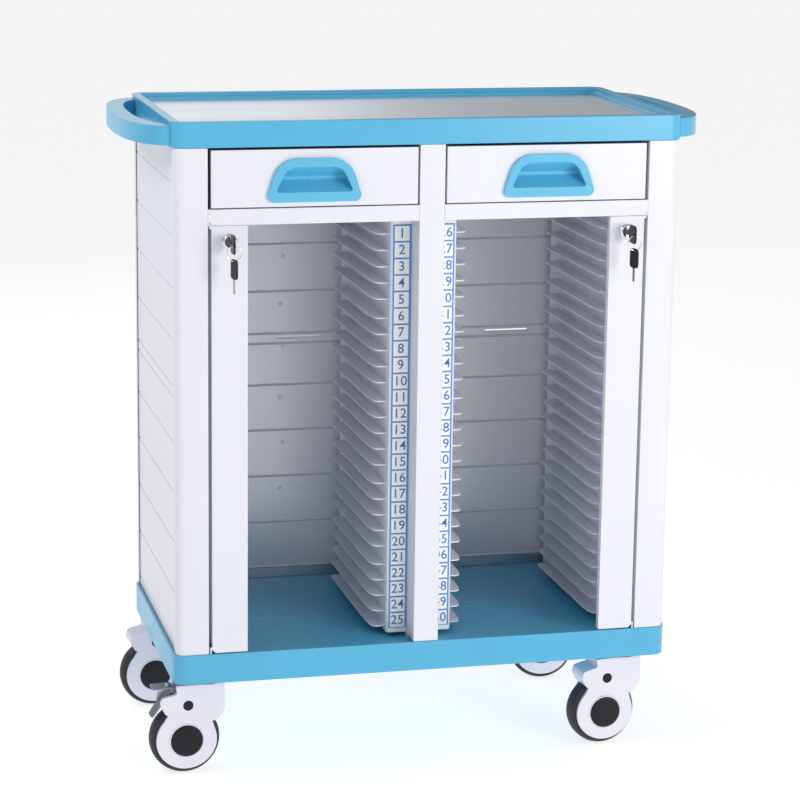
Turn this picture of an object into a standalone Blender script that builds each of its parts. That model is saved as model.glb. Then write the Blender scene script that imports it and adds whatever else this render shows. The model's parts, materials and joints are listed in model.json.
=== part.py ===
"""Patient-record trolley: a two-bay cabinet for fifty chart holders, on four swivel casters.

Metres, +Z up, front towards -Y. The floor is z = 0, and the origin lies under the middle of the whole
object's box. Every piece is placed in the body's own frame, BODY_Y behind that origin and BODY_Z above it.
"""

import math

import bmesh
import bpy
from mathutils import Matrix, Vector

# ---------------------------------------------------------------- driving dimensions, in metres
BODY_Y, BODY_Z = 0.024, 0.0075
GAP = 0.0003
SHEET = 0.0012
WALL = 0.0015

TRAY_SIZE = (0.800, 0.428)
TRAY_CORNER = 0.021
TRAY_LOW, TRAY_HIGH = 0.981, 1.020
TRAY_SKIN = 0.004
TRAY_RIM, TRAY_LEDGE = 0.014, 0.020
TRAY_STEP, TRAY_BED = 1.014, 1.0065

HANDLE_LOW, HANDLE_HIGH = 0.984, 1.013
HANDLE_ROOT = 0.385
HANDLE_OUTER = (0.0750, 0.2000)
HANDLE_INNER = (0.0480, 0.1690)
HANDLE_POWER = 2.5

BASE_SIZE = (0.800, 0.430)
BASE_CORNER = 0.022
BASE_LOW, BASE_FLOOR, BASE_RIM = 0.1485, 0.190, 0.195
BASE_SKIN, BASE_LIP = 0.004, 0.0045
SEAT_FRONT, SEAT_BACK, SEAT_STEP = 0.1985, 0.2075, 0.0007
PAD_HALF = (0.040, 0.036)

POST_SIDE, POST_FRONT, POST_INNER = 0.396, 0.2137, 0.3457
POST_CORNER = 0.015
POST_SIDE_END, POST_FLANGE_END, POST_BACK_FLANGE = 0.1905, 0.172, 0.2057
POST_LOW, POST_TOP = 0.1953, 0.9807
CENTRE_HALF, CENTRE_BACK = 0.0197, 0.170

PANEL_X, PANEL_HALF_DEPTH = 0.3935, 0.197
BACK_Y, BACK_HALF_WIDTH = 0.204, 0.392
PANEL_LOW = 0.1903
GROOVES = (0.208, 0.288, 0.368, 0.448, 0.526, 0.597, 0.614, 0.686, 0.766, 0.846, 0.926)
GROOVE_DEPTH, GROOVE_HALF = 0.0016, 0.0022
INSIDE_BACK = BACK_Y - GROOVE_DEPTH - 2 * GAP
SLOT_SIZE, SLOT_Z = (0.074, 0.004), 0.6065
SLOT_LEFT, SLOT_RIGHT = -0.1217, 0.2415

RAIL_LOW, RAIL_HIGH, RAIL_BACK = 0.8648, 0.8888, 0.195
RAIL_INNER, RAIL_OUTER = 0.0200, 0.3454
DECK_LOW, DECK_HIGH = 0.8655, 0.8901
RUNNERS, RUNNER_WIDTH = (0.045, 0.318), 0.014

RACK_FACE, RACK_FIN_TIP, RACK_BACK = 0.0525, 0.0765, 0.0200
RACK_EDGE = 0.003
RACK_BAY_MIDDLE = 0.1827
RACK_LOW, RACK_HIGH = 0.197, 0.8640
RACK_FRONT, RACK_REAR, FIN_FRONT, FIN_REAR = -0.1637, 0.187, -0.150, 0.146
FIN_TOP, FIN_PITCH, MODULE_PITCH, FIN_THICK = 0.8353, 0.02555, 0.1323, 0.0022
MODULES, FINS_PER_MODULE = 5, 5
LABEL_FRONT, LABEL_BACK = -0.1650, -0.1640

FRONT_X, FRONT_Z = (0.0228, 0.3405), (0.8908, 0.9773)
FRONT_DEPTH, FRONT_SKIN = 0.010, 0.0025
BOX_X, BOX_Y, BOX_Z = (0.0330, 0.3305), (-0.2034, 0.190), (0.8905, 0.9650)
PULL_X = 0.1836
PULL_OUT, PULL_DEEP_Z, PULL_DEPTH = 0.0060, 0.9315, 0.020

FLAP_X, FLAP_Z, FLAP_DEPTH = (0.2850, 0.3402), (0.197, 0.8640), 0.012
HINGE_X, HINGE_Y, HINGE_PIN = 0.3425, -0.2122, 0.0014
LOCK_X, LOCK_Z = 0.3125, 0.840
KEY_HOLE_Y = -0.252
RING_R, RING_WIRE = 0.0110, 0.0008
SPARE_TURN = 13

CASTER_X, CASTER_Y, CASTER_TRAIL = 0.342, 0.165, 0.0360
WHEEL_R, WHEEL_WIDTH, AXLE_R = 0.0555, 0.030, 0.005
FORK_HALF, FORK_CAVITY_HALF, FORK_CAVITY_R = 0.022, 0.017, 0.0580
FORK_DISC_R, FORK_DISC_DROP, FORK_TOP = 0.0480, 0.0455, 0.0905
CAP_R = 0.0256
HEAD_LOW, HEAD_HIGH, HEAD_R = 0.1392, 0.1482, 0.026
KINGPIN_R, KINGPIN_LOW = 0.0050, 0.1140
CASTERS = {
    "front_left": (-1, -1, 3.0),
    "front_right": (1, -1, 6.0),
    "rear_left": (-1, 1, 3.0),
    "rear_right": (1, 1, -8.0),
}
PEDAL_AT = (-0.020, 0.0705)

# colour, roughness, metallic
FINISHES = {
    "blue_abs": ((0.19, 0.52, 0.78), 0.32, 0.0),
    "white_paint": ((0.84, 0.85, 0.90), 0.38, 0.0),
    "steel": ((0.62, 0.65, 0.68), 0.25, 1.0),
    "grey_plastic": ((0.62, 0.63, 0.68), 0.42, 0.0),
    "white_plastic": ((0.80, 0.79, 0.85), 0.40, 0.0),
    "label_card": ((0.85, 0.83, 0.85), 0.45, 0.0),
    "black_plastic": ((0.012, 0.013, 0.016), 0.38, 0.0),
    "rubber": ((0.035, 0.035, 0.038), 0.62, 0.0),
    "chrome": ((0.75, 0.76, 0.78), 0.14, 1.0),
    "zinc": ((0.42, 0.43, 0.45), 0.34, 1.0),
}

# ---------------------------------------------------------------- scene and collections
for old in list(bpy.data.objects):
    bpy.data.objects.remove(old)

trolley = bpy.data.collections.new("patient_record_trolley")
cutters = bpy.data.collections.new("cutters")
bpy.context.scene.collection.children.link(trolley)
bpy.context.scene.collection.children.link(cutters)

body_frame = bpy.data.objects.new("body_frame", None)
body_frame.location = (0, BODY_Y, BODY_Z)
trolley.objects.link(body_frame)


# ---------------------------------------------------------------- making, cutting and joining shapes
def material(name, finish):
    colour, roughness, metallic = FINISHES[finish]
    made = bpy.data.materials.new(name)
    made.use_nodes = True
    shader = made.node_tree.nodes["Principled BSDF"]
    shader.inputs["Base Color"].default_value = (*colour, 1)
    shader.inputs["Roughness"].default_value = roughness
    shader.inputs["Metallic"].default_value = metallic
    return made


def link(name, mesh, parent=None):
    """A new object in the cutters' collection, until finish() makes it a piece."""
    obj = bpy.data.objects.new(name, mesh)
    obj.parent = parent or body_frame
    obj.hide_render = True
    obj.display_type = "WIRE"
    cutters.objects.link(obj)
    return obj


def finish(obj, finish_name, origin=(0, 0, 0), smooth=True):
    """Makes obj a visible piece whose own origin is the given point of its parent's frame."""
    cutters.objects.unlink(obj)
    trolley.objects.link(obj)
    obj.hide_render = False
    obj.display_type = "TEXTURED"
    obj.data.transform(Matrix.Translation(-Vector(origin)))
    obj.location = origin
    obj.data.materials.clear()
    obj.data.materials.append(material(obj.name, finish_name))
    if smooth:
        obj.data.shade_smooth()
        obj.data.set_sharp_from_angle(angle=math.radians(35))
    return obj


def as_mesh(obj):
    """The evaluated shape of a curve or of an object with modifiers, as a welded mesh in its own frame."""
    bpy.context.view_layer.update()
    graph = bpy.context.evaluated_depsgraph_get()
    mesh = bpy.data.meshes.new_from_object(obj.evaluated_get(graph))
    shape = bmesh.new()
    shape.from_mesh(mesh)
    bmesh.ops.remove_doubles(shape, verts=shape.verts, dist=1e-6)
    bmesh.ops.dissolve_limit(shape, angle_limit=1e-3, verts=shape.verts, edges=shape.edges)
    bmesh.ops.recalc_face_normals(shape, faces=shape.faces)
    shape.to_mesh(mesh)
    shape.free()
    return mesh


def block(name, low, high, parent=None):
    """A box between two corners."""
    shape = bmesh.new()
    bmesh.ops.create_cube(shape, size=1)
    size = [b - a for a, b in zip(low, high)]
    middle = [(a + b) / 2 for a, b in zip(low, high)]
    bmesh.ops.scale(shape, vec=size, verts=shape.verts)
    bmesh.ops.translate(shape, vec=middle, verts=shape.verts)
    mesh = bpy.data.meshes.new(name)
    shape.to_mesh(mesh)
    shape.free()
    return link(name, mesh, parent)


ALONG = {
    "Z": Matrix.Identity(4),
    "Y": Matrix.Rotation(math.radians(90), 4, "X"),
    "X": Matrix.Rotation(math.radians(90), 4, "Z") @ Matrix.Rotation(math.radians(90), 4, "X"),
}


def slab(name, outlines, low, high, along="Z", parent=None):
    """Flat outlines (the later ones are holes), extruded from low to high along an axis.

    The outline's points are (x, y) along Z, (x, z) along Y and (y, z) along X.
    """
    curve = bpy.data.curves.new(name, "CURVE")
    curve.dimensions = "2D"
    curve.fill_mode = "BOTH"
    curve.extrude = (high - low) / 2
    for outline in outlines:
        spline = curve.splines.new("POLY")
        spline.points.add(len(outline) - 1)
        for point, (x, y) in zip(spline.points, outline):
            point.co = (x, y, 0, 1)
        spline.use_cyclic_u = True
    guide = bpy.data.objects.new(name, curve)
    cutters.objects.link(guide)
    mesh = as_mesh(guide)
    bpy.data.objects.remove(guide)
    centre = Vector((0, 0, 0))
    centre["XYZ".index(along)] = (low + high) / 2
    mesh.transform(Matrix.Translation(centre) @ ALONG[along])
    return link(name, mesh, parent)


def turned(name, profile, place, steps=24, parent=None, closed=False):
    """A profile of (radius, height) points, from the top down on its outer side, turned about Z."""
    edges = [(i, i + 1) for i in range(len(profile) - 1)]
    if closed:
        edges.append((len(profile) - 1, 0))
    mesh = bpy.data.meshes.new(name)
    mesh.from_pydata([(radius, 0, height) for radius, height in profile], edges, [])
    guide = bpy.data.objects.new(name, mesh)
    cutters.objects.link(guide)
    screw = guide.modifiers.new("Screw", "SCREW")
    screw.steps = steps
    screw.render_steps = steps
    screw.use_merge_vertices = True
    screw.merge_threshold = 1e-6
    made = as_mesh(guide)
    bpy.data.objects.remove(guide)
    made.transform(place)
    return link(name, made, parent)


def rod(name, radius, start, end, steps=16, parent=None):
    """A plain cylinder from one point to another."""
    start, end = Vector(start), Vector(end)
    axis = end - start
    place = Matrix.Translation(start) @ axis.to_track_quat("Z", "Y").to_matrix().to_4x4()
    profile = [(0, axis.length), (radius, axis.length), (radius, 0), (0, 0)]
    return turned(name, profile, place, steps, parent)


def boolean(obj, other, operation):
    change = obj.modifiers.new(other.name, "BOOLEAN")
    change.operation = operation
    change.solver = "EXACT"
    change.object = other
    return obj


def cut(obj, *others):
    for other in others:
        boolean(obj, other, "DIFFERENCE")
    return obj


def join(obj, *others):
    for other in others:
        boolean(obj, other, "UNION")
    return obj


def settle(obj):
    """Applies the object's modifiers, so that its mesh can be moved or used as a cutter."""
    mesh = as_mesh(obj)
    obj.modifiers.clear()
    obj.data = mesh
    return obj


# ---------------------------------------------------------------- outlines
def arc(centre, radius, start, end, steps):
    """Points on a circle, between two angles in degrees."""
    points = []
    for step in range(steps + 1):
        angle = math.radians(start + (end - start) * step / steps)
        points.append((centre[0] + radius * math.cos(angle), centre[1] + radius * math.sin(angle)))
    return points


def rounded(corners, steps=4):
    """An outline through corners (x, y, radius), with each corner that has a radius made an arc."""
    outline = []
    for index, (x, y, radius) in enumerate(corners):
        corner = Vector((x, y))
        if not radius:
            outline.append((x, y))
            continue
        before = (Vector(corners[index - 1][:2]) - corner).normalized()
        after = (Vector(corners[(index + 1) % len(corners)][:2]) - corner).normalized()
        half = before.angle(after) / 2
        centre = corner + (before + after).normalized() * (radius / math.sin(half))
        first = corner + before * (radius / math.tan(half)) - centre
        last = corner + after * (radius / math.tan(half)) - centre
        start = math.degrees(math.atan2(first.y, first.x))
        turn = math.degrees(math.atan2(last.y, last.x)) - start
        turn = (turn + 180) % 360 - 180
        outline += arc(centre, radius, start, start + turn, steps)
    return outline


def rectangle(half_x, half_y, radius=0.0, steps=4):
    corners = [(-half_x, -half_y), (half_x, -half_y), (half_x, half_y), (-half_x, half_y)]
    return rounded([(x, y, radius) for x, y in corners], steps)


def span(low, high):
    """The four corners of an upright rectangle from one corner to the other."""
    return [(low[0], low[1]), (high[0], low[1]), (high[0], high[1]), (low[0], high[1])]


def mirrored(outline, side):
    """The same outline on the side given by -1 or 1."""
    return [(x * side, y) for x, y in outline]


def superellipse(half_x, half_y, power, steps):
    """A quarter-free half loop on the +x side, from -half_y to +half_y."""
    points = []
    for step in range(steps + 1):
        angle = math.radians(-90 + 180 * step / steps)
        x = abs(math.cos(angle)) ** (2 / power) * half_x
        y = math.copysign(abs(math.sin(angle)) ** (2 / power), math.sin(angle)) * half_y
        points.append((HANDLE_ROOT + x, y))
    return points


# ---------------------------------------------------------------- base, posts and panels
def base_tray():
    """Open-bottomed moulded base with a raised rim, corner seats for the posts and caster pads."""
    half_x, half_y = BASE_SIZE[0] / 2, BASE_SIZE[1] / 2
    tray = slab("base_tray", [rectangle(half_x, half_y, BASE_CORNER, 5)], BASE_LOW, BASE_RIM)
    rim_y = half_y - BASE_LIP
    floor = [
        (-POST_SIDE, -SEAT_FRONT), (-POST_INNER, -SEAT_FRONT + SEAT_STEP), (-POST_INNER, -rim_y),
        (POST_INNER, -rim_y), (POST_INNER, -SEAT_FRONT + SEAT_STEP), (POST_SIDE, -SEAT_FRONT),
        (POST_SIDE, SEAT_BACK), (POST_INNER, SEAT_BACK - SEAT_STEP), (POST_INNER, rim_y),
        (-POST_INNER, rim_y), (-POST_INNER, SEAT_BACK - SEAT_STEP), (-POST_SIDE, SEAT_BACK),
    ]
    below = rectangle(half_x - BASE_SKIN, half_y - BASE_SKIN, BASE_CORNER - BASE_SKIN, 3)
    cut(tray, slab("base_floor", [floor], BASE_FLOOR, BASE_RIM + 0.01))
    cut(tray, slab("base_hollow", [below], BASE_LOW - 0.01, BASE_FLOOR - BASE_SKIN))
    for name, (side, end, _) in CASTERS.items():
        x, y = side * CASTER_X, end * CASTER_Y
        low = (x - PAD_HALF[0], y - PAD_HALF[1], BASE_LOW + GAP)
        high = (x + PAD_HALF[0], y + PAD_HALF[1], BASE_FLOOR - 0.002)
        join(tray, block("pad_" + name, low, high))
    for side in (-1, 1):
        x = side * HINGE_X
        hole = rod("base_pin_hole", HINGE_PIN + 0.0006, (x, HINGE_Y, 0.1882), (x, HINGE_Y, 0.20), 8)
        cut(tray, hole)
    return finish(tray, "blue_abs")


def post(name, side, end):
    """Folded corner post: rounded outside, open behind, with a flange beside the bay."""
    corner = POST_CORNER
    flange = POST_FLANGE_END if end < 0 else POST_BACK_FLANGE
    outer = rounded([
        (POST_SIDE, -POST_SIDE_END, 0), (POST_SIDE, -POST_FRONT, corner), (POST_INNER, -POST_FRONT, 0),
        (POST_INNER, -flange, 0), (POST_INNER + WALL, -flange, 0),
        (POST_INNER + WALL, -POST_FRONT + WALL, 0),
        (POST_SIDE - WALL, -POST_FRONT + WALL, corner - WALL), (POST_SIDE - WALL, -POST_SIDE_END, 0),
    ], 5)
    outline = [(x * side, y if end < 0 else -y) for x, y in outer]
    made = slab(name, [outline], POST_LOW, POST_TOP)
    if end < 0:
        low = (min(side * 0.343, side * 0.350), -0.200, LOCK_Z - 0.026)
        high = (max(side * 0.343, side * 0.350), -0.186, LOCK_Z + 0.010)
        cut(made, block(name + "_cam_slot", low, high))
    return finish(made, "white_paint")


def centre_post():
    half, front, back = CENTRE_HALF, -POST_FRONT, -CENTRE_BACK
    outline = [
        (-half, front), (half, front), (half, back), (half - WALL, back),
        (half - WALL, front + WALL), (-half + WALL, front + WALL), (-half + WALL, back), (-half, back),
    ]
    return finish(slab("centre_post", [outline], POST_LOW, POST_TOP), "white_paint")


def centre_partition():
    """Box-section divider that carries the two inner racks."""
    half, front, back = CENTRE_HALF - GAP, -CENTRE_BACK + GAP, INSIDE_BACK
    outer = span((-half, front), (half, back))
    inner = span((-half + SHEET, front + SHEET), (half - SHEET, back - SHEET))
    tube = slab("centre_partition", [outer, inner], PANEL_LOW, RAIL_LOW)
    return finish(tube, "white_paint")


def planked(face, thickness, top=POST_TOP):
    """Section of a pressed sheet in (depth, height): its grooves run level, into the cabinet."""
    outer, inner = [(face, PANEL_LOW)], [(face - thickness, PANEL_LOW)]
    for height in GROOVES:
        for shift, depth in ((-GROOVE_HALF, 0), (0, GROOVE_DEPTH), (GROOVE_HALF, 0)):
            outer.append((face - depth, height + shift))
            inner.append((face - thickness - depth, height + shift))
    outer.append((face, top))
    inner.append((face - thickness, top))
    return outer + inner[::-1]


def side_panel(name, side):
    section = mirrored(planked(PANEL_X, SHEET), side)
    made = slab(name, [section], -PANEL_HALF_DEPTH, PANEL_HALF_DEPTH, "Y")
    return finish(made, "white_paint")


def back_panel():
    made = slab("back_panel", [planked(BACK_Y + SHEET, SHEET)], -BACK_HALF_WIDTH, BACK_HALF_WIDTH, "X")
    for x in (SLOT_LEFT, SLOT_RIGHT):
        low = (x - SLOT_SIZE[0] / 2, BACK_Y - 0.01, SLOT_Z - SLOT_SIZE[1] / 2)
        high = (x + SLOT_SIZE[0] / 2, BACK_Y + 0.01, SLOT_Z + SLOT_SIZE[1] / 2)
        cut(made, block("back_slot", low, high))
    return finish(made, "white_paint")


def drawer_deck():
    """Ceiling of the bays, with two folded runners under each drawer."""
    low, high, sheet = DECK_LOW, DECK_HIGH, SHEET
    centres = [-RUNNERS[1], -RUNNERS[0], RUNNERS[0], RUNNERS[1]]
    top, under = [(-0.3450, low + sheet)], [(-0.3450, low)]
    for x in centres:
        left, right = x - RUNNER_WIDTH / 2, x + RUNNER_WIDTH / 2
        top += [(left, low + sheet), (left, high), (right, high), (right, low + sheet)]
        under += [(left + sheet, low), (left + sheet, high - sheet)]
        under += [(right - sheet, high - sheet), (right - sheet, low)]
    top.append((0.3450, low + sheet))
    under.append((0.3450, low))
    made = slab("drawer_deck", [top + under[::-1]], -CENTRE_BACK + 0.001, INSIDE_BACK, "Y")
    return finish(made, "white_paint")


def front_rail(name, side):
    """Channel between two posts, open behind, with the hinge pin's hole in its lower flange."""
    front, back, low, high = -POST_FRONT, -RAIL_BACK, RAIL_LOW, RAIL_HIGH
    section = [
        (front, low), (back, low), (back, low + WALL), (front + WALL, low + WALL),
        (front + WALL, high - WALL), (back, high - WALL), (back, high), (front, high),
    ]
    ends = sorted((side * RAIL_INNER, side * RAIL_OUTER))
    made = slab(name, [section], ends[0], ends[1], "X")
    x = side * HINGE_X
    top = low + WALL + 0.003
    cut(made, rod(name + "_pin_hole", 0.0018, (x, HINGE_Y + 0.0003, low - 0.002), (x, HINGE_Y, top), 8))
    return finish(made, "white_paint")


# ---------------------------------------------------------------- top
def top_tray():
    """Moulded top with a two-step recess for its steel sheet, hollow below."""
    half_x, half_y = TRAY_SIZE[0] / 2, TRAY_SIZE[1] / 2
    tray = slab("top_tray", [rectangle(half_x, half_y, TRAY_CORNER, 5)], TRAY_LOW, TRAY_HIGH)
    first = rectangle(half_x - TRAY_RIM, half_y - TRAY_RIM, 0.010, 3)
    second = rectangle(half_x - TRAY_LEDGE, half_y - TRAY_LEDGE, 0.006, 3)
    below = rectangle(half_x - TRAY_SKIN, half_y - TRAY_SKIN, TRAY_CORNER - TRAY_SKIN, 3)
    cut(tray, slab("tray_step", [first], TRAY_STEP, TRAY_HIGH + 0.01))
    cut(tray, slab("tray_bed", [second], TRAY_BED, TRAY_HIGH + 0.01))
    cut(tray, slab("tray_hollow", [below], TRAY_LOW - 0.01, TRAY_BED - TRAY_SKIN))
    return finish(tray, "blue_abs")


def top_sheet():
    inset = TRAY_LEDGE + GAP
    outline = rectangle(TRAY_SIZE[0] / 2 - inset, TRAY_SIZE[1] / 2 - inset, 0.006, 3)
    low = TRAY_BED + GAP
    return finish(slab("top_sheet", [outline], low, low + SHEET), "steel")


def handle(name, side):
    """Half loop beside the tray, trimmed to the tray's own rounded side."""
    outer = superellipse(*HANDLE_OUTER, HANDLE_POWER, 22)
    inner = superellipse(*HANDLE_INNER, HANDLE_POWER, 16)
    made = slab(name, [mirrored(outer + inner[::-1], side)], HANDLE_LOW, HANDLE_HIGH)
    half_x, half_y = TRAY_SIZE[0] / 2 + GAP, TRAY_SIZE[1] / 2 + GAP
    tray = rectangle(half_x, half_y, TRAY_CORNER + GAP, 5)
    cut(made, slab(name + "_trim", [tray], HANDLE_LOW - 0.01, HANDLE_HIGH + 0.01))
    return finish(made, "blue_abs")


# ---------------------------------------------------------------- chart racks and label strips
def repeat(obj, count, pitch):
    """Repeats obj downwards, as an Array."""
    array = obj.modifiers.new("Array", "ARRAY")
    array.count = count
    array.use_relative_offset = False
    array.use_constant_offset = True
    array.constant_offset_displace = (0, 0, -pitch)
    return obj


def rack(name, bay, inner):
    """Ribbed rack wall: a channel with 25 level fins, standing beside one side of a bay."""
    def across(points):
        """The inner racks' outline, mirrored about the bay's middle for the outer racks."""
        return [(bay * (x if inner else 2 * RACK_BAY_MIDDLE - x), y) for x, y in points]

    plate = 0.0025
    channel = rounded([
        (RACK_BACK, RACK_FRONT, 0), (RACK_FACE, RACK_FRONT, RACK_EDGE), (RACK_FACE, RACK_REAR, 0),
        (RACK_BACK, RACK_REAR, 0), (RACK_BACK, RACK_REAR - plate, 0),
        (RACK_FACE - plate, RACK_REAR - plate, 0), (RACK_FACE - plate, RACK_FRONT + plate, 0),
        (RACK_BACK, RACK_FRONT + plate, 0),
    ], 3)
    body = slab(name, [across(channel)], RACK_LOW, RACK_HIGH)
    root, tip, front = RACK_FACE - 0.0012, RACK_FIN_TIP, FIN_FRONT
    fin = [
        (root, front), (tip - 0.0105, front), (tip - 0.0050, front + 0.0050), (tip - 0.0022, front + 0.018),
        (tip - 0.0012, front + 0.034), (tip, FIN_REAR - 0.008), (tip - 0.006, FIN_REAR), (root, FIN_REAR),
    ]
    fins = slab(name + "_fins", [across(fin)], FIN_TOP - FIN_THICK / 2, FIN_TOP + FIN_THICK / 2)
    repeat(fins, FINS_PER_MODULE, FIN_PITCH)
    repeat(fins, MODULES, MODULE_PITCH)
    return finish(join(body, settle(fins)), "grey_plastic", smooth=False)


def label_strip(name, side):
    ends = sorted((side * RACK_BACK, side * (RACK_FACE - RACK_EDGE)))
    low, high = (ends[0], LABEL_FRONT, RACK_LOW), (ends[1], LABEL_BACK, RACK_HIGH)
    return finish(block(name, low, high), "label_card", smooth=False)


# ---------------------------------------------------------------- drawers
def pull_outline(grow):
    """The opening of the pull, as a trapezium with round corners, grown by a distance."""
    top, bottom = 0.951 + grow, 0.913 - grow * 1.15
    half_top, half_bottom = 0.0415 + grow * 0.95, 0.0600 + grow * 1.15
    top_r, bottom_r = 0.0240 + grow * 1.2, 0.0035 + grow * 0.45
    return rounded([
        (-half_bottom, bottom, bottom_r), (half_bottom, bottom, bottom_r),
        (half_top, top, top_r), (-half_top, top, top_r),
    ], 5)


def pull_section(grow):
    """Section of the finger recess in (depth, height): it is deepest between its lips."""
    front, deep = -POST_FRONT - PULL_OUT - 0.003, -POST_FRONT + PULL_DEPTH + grow
    return rounded([(front, 0.954 + grow, 0), (deep, PULL_DEEP_Z + 0.003, 0.004),
                    (deep, PULL_DEEP_Z - 0.003, 0.004), (front, 0.910 - grow, 0)], 2)


def shifted(outline, x):
    return [(px + x, py) for px, py in outline]


def drawer(label, side):
    """Front, open box and recessed pull, which slide out together; their origin is on the front."""
    at = side * PULL_X
    origin = (at, -POST_FRONT, (FRONT_Z[0] + FRONT_Z[1]) / 2)
    xs = sorted((side * FRONT_X[0], side * FRONT_X[1]))
    y = -POST_FRONT
    front = slab("drawer_front_" + label, [span((xs[0], FRONT_Z[0]), (xs[1], FRONT_Z[1]))],
                 y, y + FRONT_DEPTH, "Y")
    low = (xs[0] + FRONT_SKIN, y + FRONT_SKIN, FRONT_Z[0] + FRONT_SKIN)
    high = (xs[1] - FRONT_SKIN, y + 0.05, FRONT_Z[1] - FRONT_SKIN)
    cut(front, block("front_hollow_" + label, low, high))
    opening = shifted(pull_outline(0.0030), at)
    cut(front, slab("front_opening_" + label, [opening], y - 0.01, y + 0.03, "Y"))
    finish(front, "white_paint", origin)

    bx = sorted((side * BOX_X[0], side * BOX_X[1]))
    box = block("drawer_box_" + label, (bx[0], BOX_Y[0], BOX_Z[0]), (bx[1], BOX_Y[1], BOX_Z[1]))
    low = (bx[0] + WALL, BOX_Y[0] + WALL, BOX_Z[0] + WALL)
    cut(box, block("box_hollow_" + label, low, (bx[1] - WALL, BOX_Y[1] - WALL, BOX_Z[1] + 0.01)))
    cut(box, slab("box_opening_" + label, [opening], BOX_Y[0] - 0.01, BOX_Y[0] + 0.005, "Y"))
    finish(box, "white_paint", origin)

    frame = slab("drawer_pull_" + label, [shifted(pull_outline(0.0130), at)],
                 y - PULL_OUT, y - GAP, "Y")
    cup = slab("pull_cup_" + label, [shifted(pull_outline(0.0024), at)], y - 0.003, y + 0.03, "Y")
    hollow = slab("pull_hollow_" + label, [shifted(pull_outline(0), at)], y - 0.02, y + 0.03, "Y")
    ends = (at - 0.09, at + 0.09)
    keep = slab("pull_back_" + label, [pull_section(0.0018)], *ends, "X")
    reach = slab("pull_reach_" + label, [pull_section(0)], *ends, "X")
    boolean(cup, keep, "INTERSECT")
    boolean(hollow, reach, "INTERSECT")
    cut(join(frame, settle(cup)), settle(hollow))
    finish(frame, "blue_abs", origin)


# ---------------------------------------------------------------- locking flaps, locks and keys
def flap(label, side):
    """Folded bar that covers the chart holders' edges; it turns on pins at its outer edge."""
    name = "flap_" + label
    inner, outer, front = FLAP_X[0], FLAP_X[1], -POST_FRONT
    back = front + FLAP_DEPTH
    section = [
        (inner, front), (outer, front), (outer, back), (outer - SHEET, back),
        (outer - SHEET, front + SHEET), (inner + SHEET, front + SHEET), (inner + SHEET, back),
        (inner, back),
    ]
    made = slab(name, [mirrored(section, side)], *FLAP_Z)
    clip = mirrored([(outer - 0.006, FLAP_Z[0] - 0.001), (outer + 0.01, FLAP_Z[0] - 0.001),
                     (outer + 0.01, FLAP_Z[0] + 0.015)], side)
    cut(made, slab(name + "_clip", [clip], front - 0.01, back + 0.01, "Y"))
    hole = rod(name + "_lock_hole", 0.0094, (side * LOCK_X, front - 0.01, LOCK_Z),
               (side * LOCK_X, back, LOCK_Z), 16)
    cut(made, hole)
    x = side * HINGE_X
    for part, low, high in (("top", 0.8600, 0.8635), ("low", 0.2030, 0.2060)):
        ends = sorted((side * (outer - 0.0006), x + side * 0.0002))
        join(made, block(f"{name}_{part}_knuckle", (ends[0], front + 0.0001, low),
                         (ends[1], front + 0.0029, high)))
    for part, low, high in (("top", 0.8605, 0.8665), ("low", 0.1886, 0.2055)):
        join(made, rod(f"{name}_{part}_pin", HINGE_PIN, (x, HINGE_Y, low), (x, HINGE_Y, high), 10))
    finish(made, "white_paint", (x, HINGE_Y, (FLAP_Z[0] + FLAP_Z[1]) / 2))
    return made


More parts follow.
